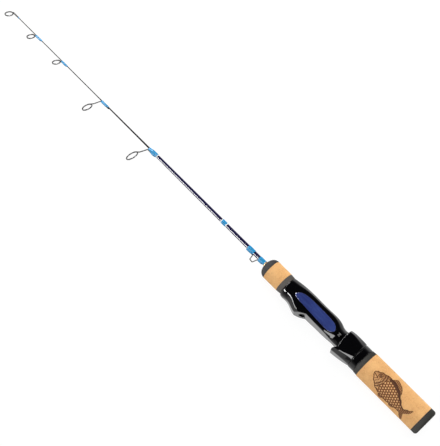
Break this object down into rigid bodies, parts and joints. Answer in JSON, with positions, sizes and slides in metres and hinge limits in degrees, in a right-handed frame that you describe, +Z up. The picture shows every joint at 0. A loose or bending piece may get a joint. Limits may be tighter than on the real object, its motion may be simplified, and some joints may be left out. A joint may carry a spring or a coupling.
{
  "type": "ice fishing rod",
  "caption": "Short one-handed ice fishing rod with ring line guides, a wire hook keeper, a screw-down reel seat and a cork handle.",
  "frame": {"origin": "centre of the flat butt face, on the rod's axis", "axes": "+X along the rod towards the tip, +Y towards the side that the reel and the line run on, +Z up, with the rod lying on its side"},
  "size_m": [0.6156, 0.0397, 0.0288],
  "materials": {
    "blank_navy": "gloss",
    "blank_grey": "satin",
    "thread_blue": "gloss",
    "thread_white": "gloss",
    "guide_metal": "satin",
    "ring_ceramic": "gloss",
    "check_metal": "satin",
    "cork": "matte",
    "foam": "matte",
    "seat_black": "gloss",
    "inlay_blue": "gloss",
    "arbor_foam": "matte"
  },
  "bodies": {
    "rod": {"blank_butt_section": "blank_navy", "blank_tip_section": "blank_grey", "tip_top_frame": "guide_metal", "tip_top_ring": "ring_ceramic", "tip_top_wrap": "thread_blue", "guide_1_frame": "guide_metal", "guide_1_ring": "ring_ceramic", "guide_1_wrap": "thread_blue", "guide_2_frame": "guide_metal", "guide_2_ring": "ring_ceramic", "guide_2_wrap": "thread_blue", "guide_3_frame": "guide_metal", "guide_3_ring": "ring_ceramic", "guide_3_wrap": "thread_blue", "guide_4_frame": "guide_metal", "guide_4_ring": "ring_ceramic", "guide_4_wrap": "thread_blue", "guide_4_trim_thread": "thread_white", "trim_band": "thread_blue", "trim_thread_front": "thread_white", "trim_thread_rear": "thread_white", "hook_keeper": "guide_metal", "keeper_wrap_front": "thread_blue", "keeper_wrap_rear": "thread_blue", "winding_check": "check_metal", "foregrip_nose": "foam", "foregrip_cork_ring_1": "cork", "foregrip_cork_ring_2": "cork", "foregrip_collar": "foam", "reel_seat_body": "seat_black", "seat_inlay_upper": "inlay_blue", "seat_inlay_lower": "inlay_blue", "seat_arbor_front": "arbor_foam", "seat_arbor_middle": "arbor_foam", "seat_arbor_rear": "arbor_foam", "rear_collar": "foam", "rear_cork_ring_1": "cork", "rear_cork_ring_2": "cork", "rear_cork_ring_3": "cork", "rear_cork_ring_4": "cork", "rear_cork_ring_5": "cork", "rear_cork_ring_6": "cork", "butt_cap": "foam"},
    "sliding_hood": {"sliding_hood": "seat_black"},
    "lock_nut": {"lock_nut": "seat_black"}
  },
  "joints": [
    {"name": "hood_slide", "type": "slide", "parent": "rod", "child": "sliding_hood", "axis": [1, 0, 0], "range_m": [0, 0.011]},
    {"name": "nut_turn", "type": "hinge", "parent": "sliding_hood", "child": "lock_nut", "pos_m": [0.0875, 0, 0], "axis": [1, 0, 0], "range_deg": [0, 1980]}
  ],
  "couplings": [
    {"joint": "hood_slide", "follows": "nut_turn", "m_per_rad": 0.0003183}
  ]
}
